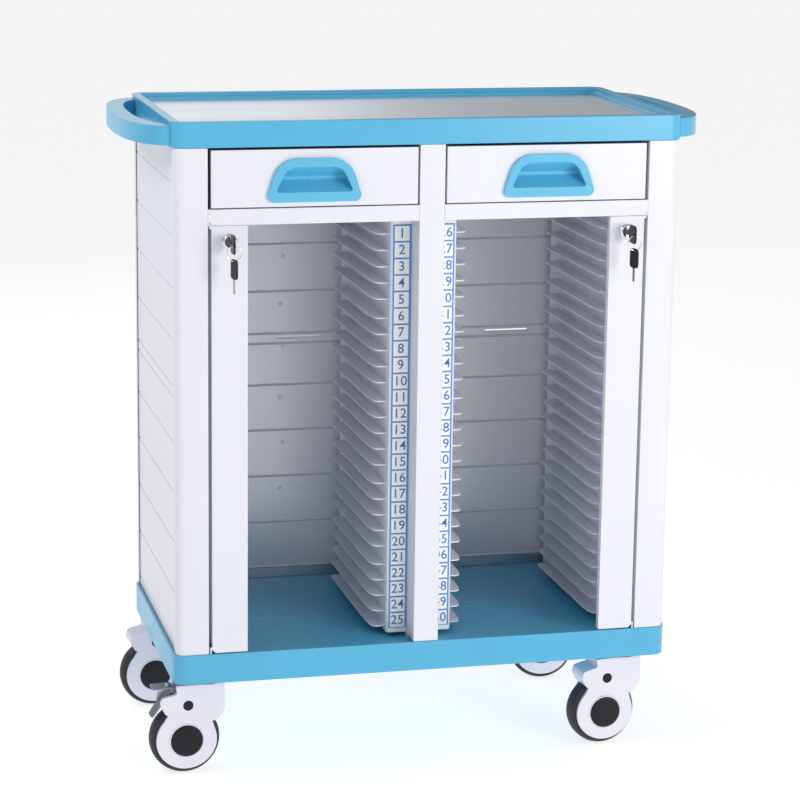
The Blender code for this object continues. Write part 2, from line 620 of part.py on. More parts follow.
def lock(label, side):
    """Cam lock, its two keys and their ring. The key and the cam turn in the fixed barrel."""
    at = Vector((side * LOCK_X, -POST_FRONT, LOCK_Z))
    outward = Matrix.Translation(at) @ Matrix.Rotation(math.radians(90), 4, "X")
    barrel = turned("lock_barrel_" + label, [
        (0.0043, 0.0042), (0.0090, 0.0050), (0.0122, 0.0020), (0.0122, GAP),
        (0.0090, GAP), (0.0090, -0.0160), (0.0043, -0.0160),
    ], outward, 18, closed=True)
    finish(barrel, "chrome", tuple(at))

    plug = turned("lock_cam_" + label, [
        (0, 0.0046), (0.0040, 0.0046), (0.0040, -0.0190), (0, -0.0190),
    ], outward, 12)
    arm = slab("cam_arm_" + label, [rounded([
        (at.x - 0.0060, LOCK_Z - 0.0370, 0.003), (at.x + 0.0060, LOCK_Z - 0.0370, 0.003),
        (at.x + 0.0060, LOCK_Z + 0.0070, 0.003), (at.x - 0.0060, LOCK_Z + 0.0070, 0.003),
    ], 2)], at.y + 0.0165, at.y + 0.0190 - 0.0001, "Y")
    slit = block("key_slit_" + label, (at.x - 0.0012, at.y - 0.006, LOCK_Z - 0.0034),
                 (at.x + 0.0012, at.y + 0.004, LOCK_Z + 0.0034))
    finish(cut(join(plug, arm), slit), "zinc", tuple(at))

    bow = rounded([
        (-0.2570, LOCK_Z - 0.0140, 0.007), (-0.2300, LOCK_Z - 0.0140, 0.006),
        (-0.2245, LOCK_Z, 0.006), (-0.2300, LOCK_Z + 0.0140, 0.006), (-0.2570, LOCK_Z + 0.0140, 0.007),
    ], 3)
    hole = arc((KEY_HOLE_Y, LOCK_Z), 0.0033, 0, 324, 9)
    key = slab("key_" + label, [bow, hole], at.x - 0.0014, at.x + 0.0014, "X")
    blade = block("key_blade_" + label, (at.x - 0.0009, -0.2280, LOCK_Z - 0.0030),
                  (at.x + 0.0009, -0.2108, LOCK_Z + 0.0030))
    finish(join(key, blade), "black_plastic", tuple(at))

    hang = Vector((at.x, KEY_HOLE_Y, LOCK_Z - 0.0014))
    wire = [(RING_R + x, z) for x, z in arc((0, 0), RING_WIRE, 90, -198, 4)]
    middle = Matrix.Translation(hang - Vector((0, 0, RING_R)))
    ring = turned("key_ring_" + label, wire, middle @ Matrix.Rotation(math.radians(90), 4, "X"),
                  20, closed=True)
    finish(ring, "chrome", tuple(hang))

    hole_z = hang.z - 2 * RING_R - 0.0010
    bow = rounded([
        (-0.0110, hole_z - 0.0262, 0.006), (0.0110, hole_z - 0.0262, 0.006),
        (0.0110, hole_z + 0.0038, 0.007), (-0.0110, hole_z + 0.0038, 0.007),
    ], 3)
    hole = arc((0, hole_z), 0.0024, 0, 315, 7)
    spare = slab("spare_key_" + label, [bow, hole], -0.0014, 0.0014, "X")
    join(spare, block("spare_blade_" + label, (-0.0009, -0.0030, hole_z - 0.0485),
                      (0.0009, 0.0030, hole_z - 0.0250)))
    settle(spare)
    spare.data.transform(Matrix.Translation((hang.x, hang.y, 0)) @
                         Matrix.Rotation(math.radians(SPARE_TURN), 4, "Z"))
    finish(spare, "black_plastic", tuple(hang))


# ---------------------------------------------------------------- casters
def fork_outline():
    """Side view of the fork about the wheel's centre: neck, shoulder and a disc that is flatter below."""
    disc = []
    for x, z in arc((0, 0), FORK_DISC_R, 18, -222, 14):
        disc.append((x, z if z > 0 else z * FORK_DISC_DROP / FORK_DISC_R))
    crown = rounded([
        (-0.0335, 0.0440, 0.006), (-0.0415, 0.0600, 0.006), (-0.0390, 0.0710, 0.005),
        (-0.0150, 0.0770, 0.003), (-0.0165, FORK_TOP, 0), (0.0604, FORK_TOP, 0), (0.0612, 0.0480, 0.003),
        (0.0500, 0.0300, 0.010),
    ], 1)
    return disc + crown


def caster(label):
    """Head on the base, swivelling fork, axle with its two caps, and wheel."""
    side, end, yaw = CASTERS[label]
    pivot = bpy.data.objects.new("swivel_" + label, None)
    pivot.parent = body_frame
    pivot.location = (side * CASTER_X, end * CASTER_Y, 0)
    pivot.rotation_euler = (0, 0, math.radians(yaw))
    trolley.objects.link(pivot)
    axle_at = Vector((-CASTER_TRAIL, 0, WHEEL_R - BODY_Z))
    across = Matrix.Translation(axle_at) @ Matrix.Rotation(math.radians(90), 4, "X")

    head = turned("caster_head_" + label, [
        (0, HEAD_HIGH), (HEAD_R, HEAD_HIGH), (HEAD_R, HEAD_LOW),
        (KINGPIN_R, HEAD_LOW), (KINGPIN_R, KINGPIN_LOW), (0, KINGPIN_LOW),
    ], Matrix.Identity(4), 20, pivot)
    finish(head, "white_plastic")

    outline = [(x + axle_at.x, z + axle_at.z) for x, z in fork_outline()]
    fork = slab("caster_fork_" + label, [outline], -FORK_HALF, FORK_HALF, "Y", pivot)
    half = FORK_CAVITY_HALF
    cut(fork, turned("wheel_space_" + label, [
        (0, half), (FORK_CAVITY_R, half), (FORK_CAVITY_R, -half), (0, -half),
    ], across, 20, pivot))
    cut(fork, rod("axle_bore_" + label, AXLE_R + GAP, axle_at - Vector((0, 0.03, 0)),
                  axle_at + Vector((0, 0.03, 0)), 12, pivot))
    cut(fork, rod("king_bore_" + label, KINGPIN_R + GAP, (0, 0, KINGPIN_LOW - 0.002), (0, 0, 0.15), 12,
                  pivot))
    if label in ("front_left", "rear_right"):
        low = (axle_at.x - 0.060, -0.0145, axle_at.z + 0.035)
        cut(fork, block("pedal_space_" + label, low, (axle_at.x - 0.010, 0.0145, 0.150), pivot))
        x, z = axle_at.x + PEDAL_AT[0], axle_at.z + PEDAL_AT[1]
        cut(fork, rod("pedal_bore_" + label, 0.0033, (x, -0.019, z), (x, 0.019, z), 12, pivot))
    finish(fork, "white_plastic")

    cap_in, cap_out = FORK_HALF + GAP, FORK_HALF + 0.0035
    axle = turned("caster_axle_" + label, [
        (0, cap_out), (CAP_R, cap_out), (CAP_R, cap_in), (AXLE_R, cap_in),
        (AXLE_R, -cap_in), (CAP_R, -cap_in), (CAP_R, -cap_out), (0, -cap_out),
    ], across, 20, pivot)
    finish(axle, "black_plastic", tuple(axle_at))

    bore, edge = AXLE_R + GAP, WHEEL_WIDTH / 2
    wheel = turned("caster_wheel_" + label, [
        (bore, edge), (WHEEL_R - 0.006, edge), (WHEEL_R, edge - 0.007),
        (WHEEL_R, -edge + 0.007), (WHEEL_R - 0.006, -edge), (bore, -edge),
    ], across, 24, pivot, closed=True)
    finish(wheel, "rubber", tuple(axle_at))
    return pivot, axle_at


def brake_pedal(label, pivot, axle_at):
    """Steel pedal between the fork's cheeks: a pivot tube, a level toe plate and a slanted arm."""
    x, z = axle_at.x + PEDAL_AT[0], axle_at.z + PEDAL_AT[1]
    made = rod("brake_pedal_" + label, 0.0030, (x, -0.0185, z), (x, 0.0185, z), 12, pivot)
    half = 0.0130
    bent = [
        (0.0012, 0), (0.0012, 0.0160), (-0.0320, 0.0160), (-0.0320, 0.0135), (-0.0021, 0.0135),
        (-0.0345, -0.0311), (-0.0324, -0.0326), (-0.0018, 0.0095), (-0.0018, 0),
    ]
    plate = [(x + px, z + pz) for px, pz in bent]
    join(made, slab("pedal_plate_" + label, [plate], -half, half, "Y", pivot))
    finish(made, "zinc", (x, 0, z))


# ---------------------------------------------------------------- build
base_tray()
top_tray()
top_sheet()
centre_post()
centre_partition()
back_panel()
drawer_deck()
for side_name, side_sign in (("left", -1), ("right", 1)):
    handle("handle_" + side_name, side_sign)
    post("post_front_" + side_name, side_sign, -1)
    post("post_rear_" + side_name, side_sign, 1)
    side_panel("side_panel_" + side_name, side_sign)
    front_rail("front_rail_" + side_name, side_sign)
    rack(f"rack_{side_name}_outer", side_sign, inner=False)
    rack(f"rack_{side_name}_inner", side_sign, inner=True)
    label_strip("label_strip_" + side_name, side_sign)
    drawer(side_name, side_sign)
    flap(side_name, side_sign)
    lock(side_name, side_sign)
for corner_name in CASTERS:
    swivel, axle_point = caster(corner_name)
    if corner_name in ("front_left", "rear_right"):
        brake_pedal(corner_name, swivel, axle_point)
bpy.context.view_layer.update()
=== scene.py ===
"""Looks of the patient-record trolley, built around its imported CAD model.

Metres, +Z up, front towards -Y. Places come from the frame: node boxes, joint points and the swivels' angles.
"""

import json
import math

import bmesh
import bpy
from mathutils import Matrix, Vector


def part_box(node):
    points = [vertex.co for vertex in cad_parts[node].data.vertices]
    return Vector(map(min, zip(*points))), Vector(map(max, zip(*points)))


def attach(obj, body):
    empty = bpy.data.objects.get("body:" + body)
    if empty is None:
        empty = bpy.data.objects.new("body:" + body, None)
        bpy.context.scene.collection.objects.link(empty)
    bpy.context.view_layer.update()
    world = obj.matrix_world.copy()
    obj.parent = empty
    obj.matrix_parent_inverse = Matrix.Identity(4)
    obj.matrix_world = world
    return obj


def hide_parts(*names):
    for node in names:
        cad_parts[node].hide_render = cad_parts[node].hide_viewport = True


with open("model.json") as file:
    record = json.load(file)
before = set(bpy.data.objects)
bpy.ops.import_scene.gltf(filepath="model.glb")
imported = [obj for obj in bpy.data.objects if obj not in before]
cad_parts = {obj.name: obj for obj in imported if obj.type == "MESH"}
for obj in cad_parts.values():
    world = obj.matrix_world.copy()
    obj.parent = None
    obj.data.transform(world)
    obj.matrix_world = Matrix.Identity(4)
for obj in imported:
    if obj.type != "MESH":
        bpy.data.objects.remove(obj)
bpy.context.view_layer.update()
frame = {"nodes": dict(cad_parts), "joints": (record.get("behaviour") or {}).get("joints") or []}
NODES = frame["nodes"]
JOINTS = {joint["name"]: joint for joint in frame["joints"]}
SIDES = (("left", -1), ("right", 1))
CORNERS = ("front_left", "front_right", "rear_left", "rear_right")

base_low, base_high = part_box("base_tray")
MID_Y = (base_low.y + base_high.y) / 2
FRONT_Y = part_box("drawer_front_left")[0].y
# heights given as LIFT + a number are for a base tray whose underside is this high, and rise with it
BASE_HEIGHT = 0.1485
LIFT = base_low.z - BASE_HEIGHT

pieces = bpy.data.collections.new("trolley_pieces")
bpy.context.scene.collection.children.link(pieces)


# ---------------------------------------------------------------- materials
NOISE_LOW, NOISE_HIGH = 0.3, 0.7
DRIFT_GRAIN, GLOSS_GRAIN = 9, 45
COAT_ROUGHNESS = 0.12


def nodes_of(name):
    """A new material with its node tree, its shader and a texture coordinate that stays with the piece."""
    made = bpy.data.materials.new(name)
    made.use_nodes = True
    tree = made.node_tree
    place = tree.nodes.new("ShaderNodeTexCoord")
    return made, tree, tree.nodes["Principled BSDF"], place.outputs["Object"]


def noise(tree, place, scale, detail=3.0, stretch=(1, 1, 1)):
    """Noise of so many grains a metre, drawn out along an axis where stretch is below 1."""
    mapping = tree.nodes.new("ShaderNodeMapping")
    mapping.inputs["Scale"].default_value = stretch
    tree.links.new(place, mapping.inputs["Vector"])
    grain = tree.nodes.new("ShaderNodeTexNoise")
    grain.inputs["Scale"].default_value = scale
    grain.inputs["Detail"].default_value = detail
    tree.links.new(mapping.outputs["Vector"], grain.inputs["Vector"])
    return grain.outputs["Fac"]


def vary_colour(tree, shader, factor, colour, change):
    """Base colour that drifts by a share either side of its mean."""
    ramp = tree.nodes.new("ShaderNodeValToRGB")
    low, high = ramp.color_ramp.elements
    low.position, high.position = NOISE_LOW, NOISE_HIGH
    low.color = (*[c * (1 - change) for c in colour], 1)
    high.color = (*[min(1, c * (1 + change)) for c in colour], 1)
    tree.links.new(factor, ramp.inputs["Fac"])
    tree.links.new(ramp.outputs["Color"], shader.inputs["Base Color"])


def vary_roughness(tree, shader, factor, roughness, change):
    reach = tree.nodes.new("ShaderNodeMapRange")
    reach.inputs["From Min"].default_value = NOISE_LOW
    reach.inputs["From Max"].default_value = NOISE_HIGH
    reach.inputs["To Min"].default_value = roughness - change
    reach.inputs["To Max"].default_value = roughness + change
    tree.links.new(factor, reach.inputs["Value"])
    tree.links.new(reach.outputs["Result"], shader.inputs["Roughness"])


def bump(tree, shader, factor, strength, distance):
    relief = tree.nodes.new("ShaderNodeBump")
    relief.inputs["Strength"].default_value = strength
    relief.inputs["Distance"].default_value = distance
    tree.links.new(factor, relief.inputs["Height"])
    tree.links.new(relief.outputs["Normal"], shader.inputs["Normal"])


def surface(name, colour, roughness, grain, relief, drift=0.02, metallic=0.0, coat=0.0, spread=0.04,
            stretch=(1, 1, 1), specular=0.5):
    """A material with slow colour drift, uneven gloss and fine relief.

    grain is in grains a metre, relief is the bump's (strength, distance), and drift and spread are how far
    the colour and the roughness vary.
    """
    made, tree, shader, place = nodes_of(name)
    shader.inputs["Metallic"].default_value = metallic
    shader.inputs["Specular IOR Level"].default_value = specular
    shader.inputs["Coat Weight"].default_value = coat
    shader.inputs["Coat Roughness"].default_value = COAT_ROUGHNESS
    vary_colour(tree, shader, noise(tree, place, DRIFT_GRAIN, stretch=stretch), colour, drift)
    vary_roughness(tree, shader, noise(tree, place, GLOSS_GRAIN, stretch=stretch), roughness, spread)
    strength, distance = relief
    bump(tree, shader, noise(tree, place, grain, 2.0, stretch), strength, distance)
    return made


BLUE = surface("sky_blue_abs", (0.080, 0.435, 0.680), 0.32, 450, (0.05, 0.00012), coat=0.12)
PULL_BLUE = surface("pull_blue_abs", (0.100, 0.475, 0.710), 0.30, 450, (0.05, 0.00012), coat=0.15)
WHITE = surface("white_powder_coat", (0.775, 0.780, 0.845), 0.38, 650, (0.10, 0.00014), drift=0.012, coat=0.1)
# LIT_INNER_WHITE and LIT_BACK_WHITE are the white powder coat of WHITE made lighter: painted light that lifts
# the shaded insides of the bays
LIT_INNER_WHITE = surface("inner_coat_painted_light", (0.800, 0.815, 0.865), 0.33, 650, (0.08, 0.00012), drift=0.006,
                      spread=0.015)
LIT_BACK_WHITE = surface("back_panel_coat_painted_light", (0.800, 0.820, 0.870), 0.32, 650, (0.04, 0.00008), drift=0.004,
                     metallic=0.34, spread=0.006)
RACK = surface("rack_plastic", (0.790, 0.810, 0.880), 0.34, 900, (0.10, 0.00012), drift=0.03, coat=0.1)
NYLON = surface("white_nylon", (0.760, 0.745, 0.830), 0.36, 700, (0.08, 0.00012), drift=0.012, coat=0.15)
CARD = surface("label_card", (0.945, 0.935, 0.955), 0.45, 900, (0.08, 0.00006), drift=0.015, coat=0.4)
INK_BLUE = surface("label_blue", (0.050, 0.300, 0.700), 0.42, 900, (0.08, 0.00006), drift=0.05)
DIGIT_INK = surface("digit_ink", (0.080, 0.190, 0.420), 0.45, 900, (0.08, 0.00006), drift=0.08)
BLACK = surface("black_plastic", (0.013, 0.014, 0.017), 0.34, 1000, (0.12, 0.00015), drift=0.15,
                specular=0.2)
TYRE = surface("tyre_rubber", (0.042, 0.042, 0.047), 0.58, 700, (0.30, 0.00030), drift=0.15,
               specular=0.25)
CORE = surface("wheel_core", (0.110, 0.112, 0.120), 0.40, 900, (0.20, 0.00020), drift=0.08)
CHROME = surface("bright_chrome", (0.780, 0.790, 0.810), 0.12, 300, (0.04, 0.00010), metallic=1.0,
                 spread=0.03)
ZINC = surface("zinc_plate", (0.230, 0.240, 0.260), 0.38, 260, (0.15, 0.00015), drift=0.12, metallic=1.0)
KEY_STEEL = surface("key_steel", (0.420, 0.410, 0.390), 0.30, 900, (0.12, 0.00010), drift=0.06, metallic=1.0)
ALUMINIUM = surface("aluminium_trim", (0.700, 0.710, 0.730), 0.32, 500, (0.08, 0.00010), metallic=1.0,
                    stretch=(0.05, 1, 1))
STEEL = surface("brushed_top_steel", (0.860, 0.900, 0.950), 0.42, 300, (0.02, 0.00005), drift=0.01,
                metallic=1.0, spread=0.04, stretch=(0.02, 1, 1))


# ---------------------------------------------------------------- shapes
JOIN_DISTANCE, FLAT_ANGLE = 1e-6, 1e-3
BEVEL_WELD, BEVEL_FLAT, BEVEL_EDGE = 1e-5, math.radians(0.6), math.radians(32)
SHARP_ANGLE = math.radians(35)


def welded(mesh):
    """Joins doubled points, turns coplanar triangles into single faces and points every face outwards."""
    shape = bmesh.new()
    shape.from_mesh(mesh)
    bmesh.ops.remove_doubles(shape, verts=shape.verts, dist=JOIN_DISTANCE)
    bmesh.ops.dissolve_limit(shape, angle_limit=FLAT_ANGLE, verts=shape.verts, edges=shape.edges)
    bmesh.ops.recalc_face_normals(shape, faces=shape.faces)
    shape.to_mesh(mesh)
    shape.free()
    return mesh


def shown(obj):
    """The mesh that an object with modifiers, or a curve, shows; the object itself is removed."""
    bpy.context.view_layer.update()
    graph = bpy.context.evaluated_depsgraph_get()
    mesh = bpy.data.meshes.new_from_object(obj.evaluated_get(graph))
    bpy.data.objects.remove(obj)
    return welded(mesh)


def scratch(data):
    """A helper object in the scene, which shown or combined removes again."""
    obj = bpy.data.objects.new("scratch", data)
    bpy.context.scene.collection.objects.link(obj)
    return obj


ALONG = {
    "Z": Matrix.Identity(4),
    "Y": Matrix.Rotation(math.radians(90), 4, "X"),
    "X": Matrix.Rotation(math.radians(90), 4, "Z") @ Matrix.Rotation(math.radians(90), 4, "X"),
}


def slab(outlines, low, high, along="Z"):
    """Flat outlines (the later ones are holes), extruded from low to high along an axis."""
    curve = bpy.data.curves.new("outline", "CURVE")
    curve.dimensions = "2D"
    curve.fill_mode = "BOTH"
    curve.extrude = (high - low) / 2
    for outline in outlines:
        spline = curve.splines.new("POLY")
        spline.points.add(len(outline) - 1)
        for point, (x, y) in zip(spline.points, outline):
            point.co = (x, y, 0, 1)
        spline.use_cyclic_u = True
    mesh = shown(scratch(curve))
    centre = Vector((0, 0, 0))
    centre["XYZ".index(along)] = (low + high) / 2
    mesh.transform(Matrix.Translation(centre) @ ALONG[along])
    return mesh


def block(low, high):
    """A box between two corners."""
    shape = bmesh.new()
    bmesh.ops.create_cube(shape, size=1)
    bmesh.ops.scale(shape, vec=[b - a for a, b in zip(low, high)], verts=shape.verts)
    bmesh.ops.translate(shape, vec=[(a + b) / 2 for a, b in zip(low, high)], verts=shape.verts)
    mesh = bpy.data.meshes.new("block")
    shape.to_mesh(mesh)
    shape.free()
    return mesh


def turned(profile, steps=64, closed=False):
    """A profile of (radius, height) points, from the top down on its outer side, turned about Z."""
    edges = [(i, i + 1) for i in range(len(profile) - 1)]
    if closed:
        edges.append((len(profile) - 1, 0))
    mesh = bpy.data.meshes.new("turned")
    mesh.from_pydata([(radius, 0, height) for radius, height in profile], edges, [])
    obj = scratch(mesh)
    screw = obj.modifiers.new("Screw", "SCREW")
    screw.steps = steps
    screw.render_steps = steps
    screw.use_merge_vertices = True
    screw.merge_threshold = JOIN_DISTANCE
    return shown(obj)


def rod(radius, start, end, steps=32):
    """A round bar between two points."""
    start, end = Vector(start), Vector(end)
    axis = end - start
    mesh = turned([(0, axis.length), (radius, axis.length), (radius, 0), (0, 0)], steps)
    mesh.transform(Matrix.Translation(start) @ axis.to_track_quat("Z", "Y").to_matrix().to_4x4())
    return mesh


def combined(mesh, operation, *others):
    """The mesh after a Boolean with each of the others in turn."""
    obj = scratch(mesh)
    helpers = [scratch(other) for other in others]
    for helper in helpers:
        change = obj.modifiers.new("Boolean", "BOOLEAN")
        change.operation = operation
        change.solver = "EXACT"
        change.object = helper
    made = shown(obj)
    for helper in helpers:
        bpy.data.objects.remove(helper)
    return made


def gathered(meshes):
    """Several meshes as one, left as they are."""
    shape = bmesh.new()
    for mesh in meshes:
        shape.from_mesh(mesh)
    made = bpy.data.meshes.new("gathered")
    shape.to_mesh(made)
    shape.free()
    return made


def moved(mesh, place):
    """The same mesh, after a transform."""
    mesh.transform(place)
    return mesh


def arc(centre, radius, start, end, steps):
    """Points on a circle, between two angles in degrees."""
    points = []
    for step in range(steps + 1):
        angle = math.radians(start + (end - start) * step / steps)
        points.append((centre[0] + radius * math.cos(angle), centre[1] + radius * math.sin(angle)))
    return points


def rounded(corners, steps=8):
    """An outline through corners (x, y, radius), with each corner that has a radius made an arc."""
    outline = []
    for index, (x, y, radius) in enumerate(corners):
        corner = Vector((x, y))
        if not radius:
            outline.append((x, y))
            continue
        before = (Vector(corners[index - 1][:2]) - corner).normalized()
        after = (Vector(corners[(index + 1) % len(corners)][:2]) - corner).normalized()
        half = before.angle(after) / 2
        centre = corner + (before + after).normalized() * (radius / math.sin(half))
        first = corner + before * (radius / math.tan(half)) - centre
        last = corner + after * (radius / math.tan(half)) - centre
        start = math.degrees(math.atan2(first.y, first.x))
        turn = math.degrees(math.atan2(last.y, last.x)) - start
        turn = (turn + 180) % 360 - 180
        outline += arc(centre, radius, start, start + turn, steps)
    return outline


def soften(obj, width, segments=2):
    """Rounds an object's sharp edges, over its welded and dissolved mesh, and shades it smooth."""
    mesh = obj.data
    if "custom_normal" in mesh.attributes:
        mesh.attributes.remove(mesh.attributes["custom_normal"])
    mesh.shade_smooth()
    weld = obj.modifiers.new("Weld", "WELD")
    weld.merge_threshold = BEVEL_WELD
    flat = obj.modifiers.new("Flat", "DECIMATE")
    flat.decimate_type = "DISSOLVE"
    flat.angle_limit = BEVEL_FLAT
    edge = obj.modifiers.new("Bevel", "BEVEL")
    edge.width = width
    edge.segments = segments
    edge.limit_method = "ANGLE"
    edge.angle_limit = BEVEL_EDGE
    edge.harden_normals = True
    edge.miter_outer = "MITER_ARC"
    return obj


def dressed(node, finish, width=0.0006, segments=2):
    """A CAD node that stays, with its finish and, where a width is given, its edges rounded."""
    obj = NODES[node]
    obj.data.materials.clear()
    obj.data.materials.append(finish)
    if width:
        soften(obj, width, segments)


def piece(name, mesh, finish, body, width=0.0, segments=2, stands_for=()):
    """A new piece, made in place, that rides on a body and may stand for CAD nodes."""
    obj = bpy.data.objects.new(name, mesh)
    mesh.name = name
    pieces.objects.link(obj)
    mesh.materials.clear()
    mesh.materials.append(finish)
    if width:
        soften(obj, width, segments)
    else:
        mesh.shade_smooth()
        mesh.set_sharp_from_angle(angle=SHARP_ANGLE)
    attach(obj, body)
    if stands_for:
        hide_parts(*stands_for)
    return obj


# ---------------------------------------------------------------- body panels
def cabinet():
    dressed("base_tray", BLUE, 0.0012, 3)
    dressed("top_tray", BLUE, 0.0016, 3)
    dressed("top_sheet", STEEL, 0.0004)
    dressed("back_panel", LIT_BACK_WHITE, 0)
    dressed("centre_partition", LIT_INNER_WHITE, 0.0005)
    dressed("drawer_deck", LIT_INNER_WHITE, 0.0003)
    dressed("centre_post", WHITE, 0.0006)
    for side, _ in SIDES:
        dressed(f"side_panel_{side}", WHITE, 0.0004)
        dressed(f"post_front_{side}", WHITE, 0.0006)
        dressed(f"post_rear_{side}", WHITE, 0.0006)
        dressed(f"front_rail_{side}", WHITE, 0.0006)
        dressed(f"drawer_front_{side}", WHITE, 0.0008)
        dressed(f"drawer_box_{side}", LIT_INNER_WHITE, 0.0005)
        dressed(f"flap_{side}", WHITE, 0.0005)
        dressed(f"label_strip_{side}", CARD, 0.0003)


def racks():
    """The four rack walls: a rounded channel with five modules of five level fins."""
    plate, edge, root, fin_reach = 0.0025, 0.003, 0.0012, 0.024
    top_fin, fin_pitch, module_pitch, thick = LIFT + 0.8353, 0.02555, 0.1323, 0.0022
    modules, fins_each = 5, 5
    front, rear = MID_Y - 0.150, MID_Y + 0.146
    for side, sign in SIDES:
        for which, inward in (("inner", 1), ("outer", -1)):
            node = f"rack_{side}_{which}"
            low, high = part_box(node)
            face_sign = sign * inward
            tip = high.x if face_sign > 0 else low.x
            back = low.x if face_sign > 0 else high.x
            face = tip - face_sign * fin_reach

            channel = slab([rounded([
                (back, low.y, 0), (face, low.y, edge), (face, high.y, 0), (back, high.y, 0),
                (back, high.y - plate, 0), (face - face_sign * plate, high.y - plate, 0),
                (face - face_sign * plate, low.y + plate, 0), (back, low.y + plate, 0),
            ])], low.z, high.z)
            outline = [(face - face_sign * root, front)]
            outline += [(tip - face_sign * x, front + y) for x, y in (
                (0.0105, 0), (0.0050, 0.0050), (0.0022, 0.0180), (0.0012, 0.0340))]
            outline += [(tip, rear - 0.008), (tip - face_sign * 0.006, rear), (face - face_sign * root, rear)]
            fins = []
            for module in range(modules):
                for fin in range(fins_each):
                    z = top_fin - module * module_pitch - fin * fin_pitch
                    fins.append(slab([outline], z - thick / 2, z + thick / 2))
            piece(node + "_channel", channel, RACK, "cabinet", 0.0005, 2, (node,))
            piece(node + "_fins", gathered(fins), RACK, "cabinet", 0.0004)


def back_details():
    """Spot-weld dimples down the back wall, and the folded lip behind each of its slots."""
    skin = 0.0016
    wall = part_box("back_panel")[0].y + skin
    grooves = (0.288, 0.368, 0.448, 0.526, 0.614, 0.686, 0.766, 0.846)
    below_groove, wander = 0.022, 0.002
    dimple = [(0, 0.00025), (0.0018, 0.00045), (0.0030, 0.0009), (0.0038, 0.0005), (0.0040, -0.0002),
              (0, -0.0002)]
    slot_z, slot_half = LIFT + 0.6065, 0.039
    lip_near, lip_far, lip_low = 0.0014, 0.0022, 0.004
    for side, middle, slot_x, lip_top in (
            ("left", -0.150, -0.1217, 0.0012), ("right", 0.110, 0.2415, -0.0006)):
        marks = []
        for index, groove in enumerate(grooves):
            centre = Vector((middle + wander * (-1) ** index, wall, groove + LIFT - below_groove))
            place = Matrix.Translation(centre) @ Matrix.Rotation(math.radians(90), 4, "X")
            marks.append(moved(turned(dimple, 24), place))
        piece(f"weld_marks_{side}", gathered(marks), LIT_INNER_WHITE, "cabinet")
        lip = block((slot_x - slot_half, wall + lip_near, slot_z - lip_low),
                    (slot_x + slot_half, wall + lip_far, slot_z + lip_top))
        piece(f"slot_lip_{side}", lip, LIT_INNER_WHITE, "cabinet", 0.0002)


def floor_trim():
    """Bright strip along the foot of each bay's back wall, and a moulded bead across the floor."""
    rack_clearance, end_gap = 0.007, 0.0006
    floor_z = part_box("rack_left_inner")[0].z - rack_clearance
    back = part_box("back_panel")[0].y
    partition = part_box("centre_partition")[1].x
    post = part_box("post_rear_right")[0].x
    strip_out, strip_in, strip_low, strip_high = 0.0016, 0.0002, 0.0004, 0.0165
    bead_rise, bead_inset = 0.0005, 0.002
    bead_front, bead_rear = MID_Y - 0.0285, MID_Y - 0.0255
    for side, sign in SIDES:
        left, right = sorted((sign * (partition + end_gap), sign * (post - end_gap)))
        strip = block((left, back - strip_out, floor_z + strip_low),
                      (right, back - strip_in, floor_z + strip_high))
        piece(f"foot_strip_{side}", strip, ALUMINIUM, "cabinet", 0.0005)
        bead = block((left + bead_inset, bead_front, floor_z - bead_rise),
                     (right - bead_inset, bead_rear, floor_z + bead_rise))
        piece(f"floor_bead_{side}", bead, BLUE, "cabinet", 0.0004)


# ---------------------------------------------------------------- handles
def superellipse(root, half_x, half_y, power, steps):
    """Half of a superellipse about (root, MID_Y), on its +X side."""
    points = []
    for step in range(steps + 1):
        angle = math.radians(-90 + 180 * step / steps)
        x = abs(math.cos(angle)) ** (2 / power) * half_x
        y = math.copysign(abs(math.sin(angle)) ** (2 / power), math.sin(angle)) * half_y
        points.append((root + x, MID_Y + y))
    return points


def handles():
    """The loops at both ends, finer than in the CAD, with a well-rounded grip."""
    root, power, half_depth = 0.385, 2.5, 0.2000
    bar_x, bar_y = 0.0270, 0.0310
    tray_corner, gap, over = 0.021, 0.0003, 0.01
    low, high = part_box("handle_right")
    tray_low, tray_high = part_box("top_tray")
    reach = high.x - root
    outer = superellipse(root, reach, half_depth, power, 48)
    inner = superellipse(root, reach - bar_x, half_depth - bar_y, power, 40)
    half_x, half_y = tray_high.x + gap, (tray_high.y - tray_low.y) / 2 + gap
    corner = tray_corner + gap
    tray = rounded([(-half_x, MID_Y - half_y, corner), (half_x, MID_Y - half_y, corner),
                    (half_x, MID_Y + half_y, corner), (-half_x, MID_Y + half_y, corner)], 10)
    for side, sign in SIDES:
        loop = [(sign * x, y) for x, y in outer + inner[::-1]]
        made = combined(slab([loop], low.z, high.z), "DIFFERENCE", slab([tray], low.z - over, high.z + over))
        piece(f"grip_{side}", made, BLUE, "cabinet", 0.0036, 4, (f"handle_{side}",))


# ---------------------------------------------------------------- numbered strips
def number_mesh(text, size, place):
    """A printed number, as a thin mesh centred on the place."""
    curve = bpy.data.curves.new("number", "FONT")
    curve.body = text
    curve.size = size
    curve.extrude = 0.00005
    curve.offset = 0.00018
    curve.align_x = "CENTER"
    curve.align_y = "CENTER"
    curve.space_character = 1.05
    return moved(shown(scratch(curve)), place)


